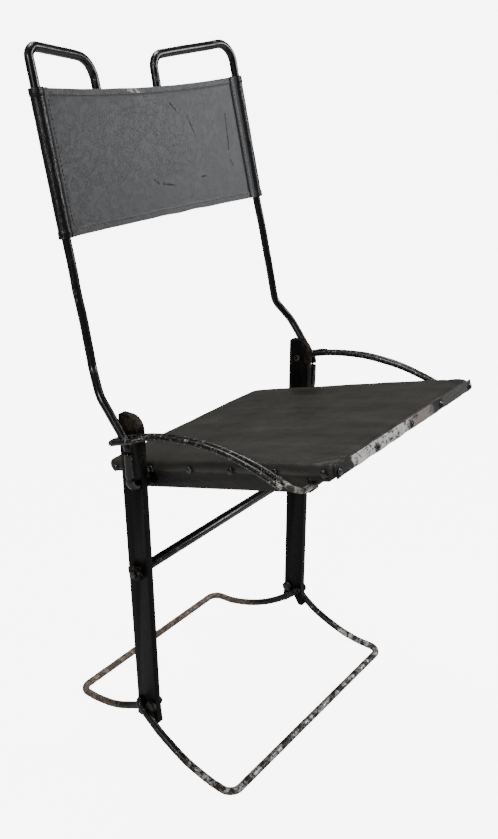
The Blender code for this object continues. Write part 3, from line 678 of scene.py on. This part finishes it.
# %% [markdown]
# ## The hoop
# Thinner rod, doubled back on itself on each side to make an arm. The two strands stand apart only
# at the eye, where the back's rod passes between them, and lie side by side from there on. The
# outer one is cut off at the front corner and brazed to its neighbour, with a small lump of braze.

# %% Hoop
HOOP_FRONT, HOOP_FRONT_Z, HOOP_RISE, HOOP_EYE = 0.2484, 0.487, 0.0245, 0.0145


def strand_point(side, outer, t):
    rear, drop = HOOP_EYE - HOOP_SPACING / 2, 0.0015
    x = POST_OUT + GAP + HOOP_ROD / 2 - 0.006 * min(max((t - 0.15) / 0.42, 0.0), 1.0)
    z = HOOP_PIN.z - drop + (HOOP_FRONT_Z - HOOP_PIN.z + drop) * t + 4 * HOOP_RISE * t * (1 - t)
    if outer:
        x += HOOP_SPACING + (HOOP_ROD + 0.0004 - HOOP_SPACING) * ramp(t, 0.095, 0.19)
        z -= 0.0025 * max(0.0, (t - 0.6) / 0.325)
    return Vector((side * x, rear + (-HOOP_FRONT - rear) * t, z))


def hoop_half(side):
    """One arm, from the front corner back along the inner strand, round the eye and forward."""
    inner = [strand_point(side, False, 0.93 * (1 - i / 40)) for i in range(41)]
    outer = [strand_point(side, True, 0.925 * i / 60) for i in range(61)]
    middle, across = (inner[-1] + outer[0]) / 2, (outer[0] - inner[-1]) / 2
    along = (inner[-1] - inner[-2]).normalized() * HOOP_SPACING / 2
    eye = [middle - across * math.cos(a) + along * math.sin(a)
           for a in (math.pi * i / 14 for i in range(1, 14))]
    corner = Vector((inner[0].x, -HOOP_FRONT, HOOP_FRONT_Z))
    bend = round_path([inner[0], corner, (0.0, -HOOP_FRONT, HOOP_FRONT_Z)], [0.014])
    return list(reversed(bend[1:-1])) + inner + eye + outer


hoop_path = list(reversed(hoop_half(-1))) + hoop_half(1)
hoop = rod_piece("hoop", hoop_path, HOOP_ROD, sway=0.0006, dents=0.00014, seed=17.0,
                 still=lambda p: abs(p.y) < 0.03 or p.y < -0.22)
note_on(hoop, "wear", lambda p: ramp(p.y, -0.215, -0.243))
finish_piece(hoop, HOOP_WEAR, "hoop", ["arm_hoop"])

for word, side in (("left", -1), ("right", 1)):
    spot = strand_point(side, True, 0.90) + Vector((-side * 0.0032, 0, 0.0012))
    lump = start_from(bpy.ops.mesh.primitive_uv_sphere_add, f"braze_{word}", segments=20,
                      ring_count=12, radius=0.0030, location=spot)
    lump.scale = (1.0, 2.6, 0.9)
    bpy.ops.object.transform_apply(location=True, rotation=True, scale=True)
    bumpy(lump, 0.0009, 260.0, side)
    finish_piece(lump, HOOP_WEAR, "hoop")

# %% [markdown]
# ## Flat bar, nuts and wood
# The frame already has the right outline for these, but its corners are knife-sharp. A copy has
# its loose triangles merged and dissolved back to plain faces, and a narrow bevel rounds the arris
# as a file and years of use do.

# %% Eased copies
def eased_copy(node, name, material, body, width, segments=2, uneven=0.0):
    source = frame["nodes"][node]
    piece = source.copy()
    piece.data = source.data.copy()
    piece.name = name
    for key in list(piece.keys()):
        del piece[key]
    piece.parent = None
    bpy.context.scene.collection.objects.link(piece)
    piece.hide_render = False
    pick(piece)
    bpy.ops.object.mode_set(mode="EDIT")
    bpy.ops.mesh.select_all(action="SELECT")
    bpy.ops.mesh.remove_doubles(threshold=0.00002)
    bpy.ops.mesh.dissolve_limited(angle_limit=math.radians(2))
    bpy.ops.object.mode_set(mode="OBJECT")
    if width:
        bevel = piece.modifiers.new("eased", "BEVEL")
        bevel.width, bevel.segments = width, segments
        bevel.limit_method, bevel.angle_limit = "ANGLE", math.radians(32)
        bevel.harden_normals = False
        apply_all(piece)
    if uneven:
        bumpy(piece, uneven, 60.0, 2.0)
    return finish_piece(piece, material, body, [node], smooth=35, shift=False)


for word in ("left", "right"):
    post = eased_copy(f"{word}_post", f"post_{word}", POST_PAINT, "frame", 0.0011)
    note_on(post, "wear", lambda p: max(ramp(p.z, 0.485, 0.51), 0.8 * ramp(p.z, 0.065, 0.045)))
    eased_copy(f"stretcher_nut_{word}", f"nut_{word}", NUT_IRON, "frame", 0.0010)
    eased_copy(f"seat_rail_{word}", f"rail_{word}", OLD_WOOD, "seat", 0.0012)
    eased_copy(f"pivot_spacer_{word}", f"spacer_{word}", POST_PAINT, "seat", 0.0006)
    eased_copy(f"pivot_washer_{word}", f"washer_{word}", HAMMERED, "seat", 0.0005)
    eased_copy(f"hoop_pin_{word}", f"pin_{word}", HAMMERED, "hoop", 0.0006)
    for foot_word in ("front", "rear"):
        eased_copy(f"{foot_word}_foot_washer_{word}", f"{foot_word}_head_{word}", HAMMERED,
                   f"{foot_word}_foot", 0.0009, uneven=0.0004)
eased_copy("stretcher_rod", "stretcher", BACK_PAINT, "frame", 0.0004)
eased_copy("seat_board", "board", OLD_WOOD, "seat", 0.0008)
eased_copy("seat_front_batten", "batten", OLD_WOOD, "seat", 0.0012)

# %% [markdown]
# ## The back panel
# One piece of leather. Each side comes round its upright from behind, as a sleeve, and laps over
# the front of the web, where a row of stitches holds it down. Top and bottom have a narrow folded
# hem. It is a grid whose columns run along that wrapped line, given its thickness afterwards.

# %% Panel
WRAP = ROD / 2 + GAP + 0.0012
FLAP = 0.0145
HEM = 0.009
WEB_SHARE, SLEEVE_SHARE = 0.72, 0.94


def panel_point(s, u):
    """A point of the leather's middle: s runs across from flap to flap (-1..1), u up (0..1)."""
    height = PANEL_BOTTOM + (PANEL_TOP - PANEL_BOTTOM) * u
    half = upright_x(height)
    side, share = (-1 if s < 0 else 1), abs(s)
    edge_x = half - WRAP - 0.0008
    from_end = min(u, 1 - u) * (PANEL_TOP - PANEL_BOTTOM)
    hem = 1 - ramp(from_end, HEM - 0.0016, HEM)
    slack = 0.0
    if share <= WEB_SHARE:
        across = share / WEB_SHARE
        x, slack = edge_x * across, 1 - across ** 2
        behind = 0.001 + 0.002 * slack + 0.0018 * ramp(across, 0.985, 1.0)
    elif share <= SLEEVE_SHARE:
        angle = math.radians(-60 + 300 * (share - WEB_SHARE) / (SLEEVE_SHARE - WEB_SHARE))
        radius = WRAP + 0.0007 * hem
        radius += 0.0003 * noise.noise(Vector((height * 70, angle, side)))
        x, behind = half + radius * math.sin(angle), radius * math.cos(angle)
    else:
        t = (share - SLEEVE_SHARE) / (1 - SLEEVE_SHARE)
        start = half - WRAP * math.sin(math.radians(60))
        x = start + (half - FLAP - start) * t
        behind = -WRAP / 2 + (WRAP / 2 - 0.0016) * ramp(t, 0.0, 0.45)
        behind -= 0.0003 * hem
    flat = side * x
    edge = height - 0.006 * u * slack + 0.0012 * (1 - u) * slack
    if share <= WEB_SHARE:
        behind += 0.0009 * slack * noise.noise(Vector((flat * 16, height * 22, 4.0)))
        edge += 0.0008 * slack * noise.noise(Vector((flat * 30, u * 2, 9.0)))
        behind -= 0.0006 * hem
    return on_back(flat, edge, behind)


COLUMNS, ROWS = 340, 110
panel = start_from(bpy.ops.mesh.primitive_grid_add, "leather_panel", x_subdivisions=COLUMNS,
                   y_subdivisions=ROWS, size=2)
for vertex in panel.data.vertices:
    vertex.co = panel_point(vertex.co.x, (vertex.co.y + 1) / 2)
thick = panel.modifiers.new("thickness", "SOLIDIFY")
thick.thickness, thick.offset = PANEL_HIDE, 0.0
apply_all(panel)
recalculate(panel)


def sleeve_here(point):
    """1 on the sleeves, 0 on the web."""
    height = (point.z - BACK_ZERO[1]) / math.cos(LEAN)
    return ramp(abs(point.x), upright_x(height) - 0.0085, upright_x(height) - 0.0055)


def scuff_here(point):
    """A few scrapes on the web: each is a short thick line, given as it runs across and up."""
    height = (point.z - BACK_ZERO[1]) / math.cos(LEAN)
    near = 0.0
    for x, h, lean_x, lean_h in ((0.066, 0.284, 0.010, -0.026), (-0.004, 0.206, 0.022, -0.004),
                                 (0.145, 0.282, -0.004, -0.046), (0.074, 0.206, 0.010, 0.001),
                                 (0.140, 0.222, 0.006, -0.008), (0.036, 0.302, 0.010, -0.010),
                                 (-0.020, 0.214, 0.010, -0.008)):
        start, run = Vector((x, h)), Vector((lean_x, lean_h))
        here = Vector((point.x, height)) - start
        share = min(max(here.dot(run) / run.length_squared, 0.0), 1.0)
        near = max(near, 1 - (here - run * share).length / 0.0032)
    return 0.85 * near


def chip_here(point):
    """Where the top hem's face has flaked off."""
    height = (point.z - BACK_ZERO[1]) / math.cos(LEAN)
    in_hem = ramp(height, PANEL_TOP - 0.0165, PANEL_TOP - 0.0115)
    return in_hem * ramp(abs(point.x + 0.025), 0.026, 0.012)


note_on(panel, "wear", sleeve_here)
# A painted sheen: the panel's colour is made lighter from left to right, standing in for light
# falling from the right.
note_on(panel, "faded_and_sheen", lambda point: 0.75 * ramp(point.x, -0.20, 0.17))
note_on(panel, "scuffed", scuff_here)
note_on(panel, "chipped", chip_here)
finish_piece(panel, PANEL_LEATHER, "back", ["back_panel"], smooth=60)

# %% [markdown]
# Stitches are short capsules of waxed thread. One is modelled and then copied along each seam:
# down both sides beside the uprights, and along both hems.

# %% Stitches
def thread_mesh():
    one = start_from(bpy.ops.mesh.primitive_uv_sphere_add, "thread", segments=8, ring_count=5,
                     radius=THREAD_RADIUS)
    one.scale = (3.6, 1.0, 1.0)
    bpy.ops.object.transform_apply(scale=True)
    return one


def front_of(s, u):
    here = panel_point(s, u)
    step = -0.002 if abs(s) > 0.99 else 0.002
    out = (panel_point(s + step, u) - panel_point(s, u)).cross(
        panel_point(s, min(u + 0.01, 1.0)) - panel_point(s, max(u - 0.01, 0.0))).normalized()
    if out.y > 0:
        out = -out
    return here + out * 0.00102, out


def stitch_row(spots):
    pieces = []
    for (s, u), (s2, u2) in zip(spots, spots[1:]):
        point, out = front_of((s + s2) / 2, (u + u2) / 2)
        along = (panel_point(s2, u2) - panel_point(s, u)).normalized()
        across = out.cross(along)
        turned = Matrix((along, across, out)).transposed().to_4x4()
        pieces.append(Matrix.Translation(point) @ turned)
    return pieces


def lay_stitches():
    places = []
    for side in (-1, 1):
        places += stitch_row([(side * 0.988, 0.07 + 0.86 * i / 28) for i in range(29)])
    seam = 0.78 * HEM / (PANEL_TOP - PANEL_BOTTOM)
    for u in (seam, 1 - seam):
        places += stitch_row([(-0.68 + 1.36 * i / 68, u) for i in range(69)])
    one = thread_mesh()
    copies = []
    for place in places:
        copy = one.copy()
        copy.data = one.data.copy()
        copy.data.transform(place)
        bpy.context.scene.collection.objects.link(copy)
        copies.append(copy)
    bpy.data.objects.remove(one, do_unlink=True)
    bpy.ops.object.select_all(action="DESELECT")
    for copy in copies:
        copy.select_set(True)
    bpy.context.view_layer.objects.active = copies[0]
    bpy.ops.object.join()
    copies[0].name = "panel_stitches"
    return copies[0]


stitches = lay_stitches()
finish_piece(stitches, STITCH_THREAD, "back", smooth=60)

# %% [markdown]
# ## The seat
# A board with a thin pad under leather, pulled over the edges and nailed. The shape starts as a
# box of the seat's size, tapered to the rear, its corners and its rim rounded. Remeshed finely, it
# is crowned in the middle, drawn down at each nail and creased at the corners.

# %% Seat leather
def seat_half(y):
    share = (SEAT_REAR - y) / (SEAT_REAR + SEAT_FRONT)
    return REAR_HALF + (FRONT_HALF - REAR_HALF) * share


def nail_places():
    middle = (BOARD_TOP + BOARD_BOTTOM) / 2
    front = -SEAT_FRONT - 0.0016 - GAP
    places = []
    for i in range(5):
        x = (FRONT_HALF - 0.0075) * (i / 2 - 1)
        places.append(("front", i + 1, (x, front, middle), (0, -1, 0)))
    pitch = (SEAT_FRONT + SEAT_REAR - 0.032) / 5
    for word, side in (("left", -1), ("right", 1)):
        for i in range(6):
            y = 0.014 - SEAT_FRONT + i * pitch
            places.append((word, i + 1, (side * seat_half(y), y, middle), (side, 0, 0)))
    for i in range(4):
        x = (REAR_HALF - 0.020) * (2 * i / 3 - 1)
        places.append(("rear", i + 1, (x, SEAT_REAR, middle), (0, 1, 0)))
    return places


ON_SEAT = Matrix.Translation(PIVOT) @ Matrix.Rotation(-TILT, 4, "X")


def make_seat_leather():
    low, length = BOARD_BOTTOM - 0.0002, SEAT_FRONT + SEAT_REAR
    seat = start_from(bpy.ops.mesh.primitive_cube_add, "seat_leather", size=1,
                      location=(0, (SEAT_REAR - SEAT_FRONT) / 2, (SEAT_TOP + low) / 2),
                      scale=(2, length, SEAT_TOP - low))
    bpy.ops.object.transform_apply(location=True, rotation=True, scale=True)
    for vertex in seat.data.vertices:
        vertex.co.x = math.copysign(seat_half(vertex.co.y), vertex.co.x)
    bevel = seat.modifiers.new("corners", "BEVEL")
    bevel.width, bevel.segments, bevel.limit_method = 0.0055, 5, "ANGLE"
    apply_all(seat)
    remesh = seat.modifiers.new("fine", "REMESH")
    remesh.mode, remesh.voxel_size = "VOXEL", 0.0021
    apply_all(seat)
    pick(seat)
    bpy.ops.object.mode_set(mode="EDIT")
    bpy.ops.mesh.select_all(action="SELECT")
    bpy.ops.mesh.bisect(plane_co=(0, 0, BOARD_BOTTOM + 0.0012), plane_no=(0, 0, 1),
                        clear_inner=True)
    bpy.ops.mesh.select_all(action="SELECT")
    bpy.ops.mesh.vertices_smooth(factor=0.5, repeat=2)
    bpy.ops.object.mode_set(mode="OBJECT")
    return seat


def round_rear_corner(point):
    """Draws the square rear corner in to a round one."""
    centre = Vector((math.copysign(seat_half(SEAT_REAR) - REAR_CORNER, point.x),
                     SEAT_REAR - REAR_CORNER))
    arm = point.xy - centre
    if point.y > centre.y and abs(point.x) > abs(centre.x) and max(abs(arm.x), abs(arm.y)) > 0.002:
        arm *= max(abs(arm.x), abs(arm.y)) / arm.length
        point.xy = centre + arm


def crown_and_crease(seat):
    nails = [Vector(point) for _, _, point, _ in nail_places()]
    for vertex in seat.data.vertices:
        round_rear_corner(vertex.co)
        x, y, z = vertex.co
        along = 1 - ((y + (SEAT_FRONT - SEAT_REAR) / 2) / ((SEAT_FRONT + SEAT_REAR) / 2)) ** 2
        across = 1 - (x / seat_half(y)) ** 2
        top = min(max((z - SEAT_TOP + 0.006) / 0.006, 0.0), 1.0)
        crown = 0.0052 * (max(along, 0.0) * max(across, 0.0)) ** 0.42 * top
        dip = sum(0.0011 * math.exp(-((vertex.co - n).length / 0.011) ** 2) for n in nails)
        pull = sum(math.exp(-((vertex.co - n).length / 0.028) ** 2) for n in nails)
        corner = Vector((abs(x) - seat_half(y), y + SEAT_FRONT, 0)).length
        fold = 0.0009 * math.exp(-(corner / 0.035) ** 2) * math.sin(x * 430 + y * 260)
        broad = 0.0009 * noise.noise(Vector((x * 14, y * 9, 2.0)))
        fine = 0.0004 * noise.noise(Vector((x * 60, y * 34, 7.0)))
        vertex.co.z += crown + top * (fold + (broad + fine) * (1 - 0.5 * min(pull, 1.0)))
        inward = Vector((-math.copysign(1, x) if across < 0.05 else 0.0,
                         math.copysign(1, -y - 0.1) if along < 0.05 else 0.0, 0))
        ripple = 0.0003 * noise.noise(Vector((x * 40, y * 40, z * 90)))
        vertex.co += inward * (dip + ripple) * (1 - 0.5 * top)


seat_leather = make_seat_leather()
crown_and_crease(seat_leather)
seat_leather.data.transform(ON_SEAT)
inner = seat_leather.modifiers.new("thickness", "SOLIDIFY")
inner.thickness, inner.offset = SEAT_HIDE, -1.0
apply_all(seat_leather)
finish_piece(seat_leather, SEAT_LEATHER, "seat", ["seat_cover"], smooth=60)
print("seat leather has", len(seat_leather.data.polygons), "faces")

# %% [markdown]
# ## The front strip and the nails
# The strip is a thin bar whose lower edge has torn. The nails are low domes: a sphere is cut in
# half, flattened and copied to each place with a small turn of its own, as hammered nails have.

# %% Strip
def make_strip():
    strip = start_from(bpy.ops.mesh.primitive_grid_add, "front_strip", x_subdivisions=340,
                       y_subdivisions=16, size=2)
    top = SEAT_TOP - 0.0012
    for vertex in strip.data.vertices:
        s, u = vertex.co.x, (vertex.co.y + 1) / 2
        x = s * (FRONT_HALF - 0.0008)
        torn = 0.5 + 0.5 * noise.noise(Vector((x * 45, 1.0, 3.0)))
        low = top - STRIP_HEIGHT * (0.90 + 0.10 * torn)
        z = low + (top - low) * u
        y = -SEAT_FRONT - GAP - 0.0008
        y += 0.0006 * noise.noise(Vector((x * 55, z * 160, 5.0))) * (1 - 0.6 * u)
        y -= 0.0007 * max(0.0, 1 - u * 4) * (0.5 + noise.noise(Vector((x * 80, 0.0, 8.0))))
        vertex.co = Vector((x, y, z))
    wall = strip.modifiers.new("thickness", "SOLIDIFY")
    wall.thickness, wall.offset = STRIP_HIDE, 0.0
    apply_all(strip)
    recalculate(strip)
    strip.data.transform(ON_SEAT)
    return strip


strip = make_strip()
finish_piece(strip, TORN_STRIP, "seat", ["front_trim_band"], smooth=50)


# %% Nails
def dome():
    head = start_from(bpy.ops.mesh.primitive_uv_sphere_add, "nail_head", segments=24,
                      ring_count=16, radius=NAIL_RADIUS)
    bpy.ops.object.mode_set(mode="EDIT")
    bpy.ops.mesh.select_all(action="SELECT")
    bpy.ops.mesh.bisect(plane_co=(0, 0, 0), plane_no=(0, 0, 1), clear_inner=True, use_fill=True)
    bpy.ops.object.mode_set(mode="OBJECT")
    head.scale = (1, 1, 0.54)
    bpy.ops.object.transform_apply(scale=True)
    return head


pattern = dome()
for i, (word, number, point, outward) in enumerate(nail_places()):
    turned = Vector(outward).to_track_quat("Z", "Y").to_matrix().to_4x4()
    wobble = Euler((0.16 * math.sin(7 * i), 0.16 * math.cos(5 * i), i)).to_matrix().to_4x4()
    nail = pattern.copy()
    nail.data = pattern.data.copy()
    nail.name = f"tack_{word}_{number}"
    bpy.context.scene.collection.objects.link(nail)
    bumpy(nail, 0.00035, 330.0, i)
    lifted = Vector(point) + Vector(outward) * 0.0007
    nail.data.transform(ON_SEAT @ Matrix.Translation(lifted) @ turned @ wobble)
    finish_piece(nail, NAIL_IRON, "seat", [f"nail_{word}_{number}"], smooth=60)
bpy.data.objects.remove(pattern, do_unlink=True)

# %% [markdown]
# ## Room, light and camera
# A white room with no lines in it: a pale floor as wide as the view, a bright even world, and
# three large soft lights, one above and behind so that the rods' tops catch a line of light.

# %% Floor and light
floor = start_from(bpy.ops.mesh.primitive_plane_add, "floor", size=60, location=(0, 0, -0.0003))
floor_paint, _, floor_shader = new_material("floor_paint", 0.9, 0.1)
floor_shader.inputs["Base Color"].default_value = (0.84, 0.84, 0.84, 1)
floor_shader.inputs["Emission Color"].default_value = (1.0, 1.0, 1.0, 1)
seen = add(floor_paint.node_tree, "LightPath").outputs["Is Camera Ray"]
link(floor_paint.node_tree, math_node(floor_paint.node_tree, "MULTIPLY", seen, 7.0),
     floor_shader.inputs["Emission Strength"])
floor.data.materials.append(floor_paint)

world = bpy.data.worlds.new("studio")
bpy.context.scene.world = world
world.use_nodes = True
air = world.node_tree.nodes["Background"]
air.inputs["Color"].default_value = (1.0, 1.0, 1.0, 1)
straight = add(world.node_tree, "LightPath").outputs["Is Camera Ray"]
link(world.node_tree, math_node(world.node_tree, "ADD", 0.15,
                                math_node(world.node_tree, "MULTIPLY", straight, 7.0)),
     air.inputs["Strength"])


def soft_light(name, place, target, size, power):
    light = bpy.data.lights.new(name, "AREA")
    light.shape, light.size, light.energy = "DISK", size, power
    lamp = bpy.data.objects.new(name, light)
    lamp.location = place
    lamp.rotation_euler = (Vector(target) - Vector(place)).to_track_quat("-Z", "Y").to_euler()
    bpy.context.scene.collection.objects.link(lamp)


soft_light("overhead", (0.2, 0.5, 2.4), (0, 0, 0.4), 0.8, 34)
soft_light("window", (1.7, -1.7, 1.5), (0, 0, 0.6), 0.9, 34)
soft_light("left_side", (-2.1, -0.3, 1.7), (0, 0, 0.5), 0.5, 20)

# %% [markdown]
# The camera looks down at the chair from its front left, about 27 degrees below level.

# %% Camera
camera_data = bpy.data.cameras.new("camera")
camera_data.lens, camera_data.sensor_width = 38.35, 36
camera_data.shift_y, camera_data.shift_x = 0.0867, -0.0005
camera = bpy.data.objects.new("camera", camera_data)
turn, down = math.radians(53.28), math.radians(27.17)
ahead = Vector((math.sin(turn) * math.cos(down), math.cos(turn) * math.cos(down), -math.sin(down)))
camera.location = (-0.9049, -0.7161 + BEHIND, 0.9276)
camera.rotation_euler = ahead.to_track_quat("-Z", "Y").to_euler()
bpy.context.scene.collection.objects.link(camera)
bpy.context.scene.camera = camera
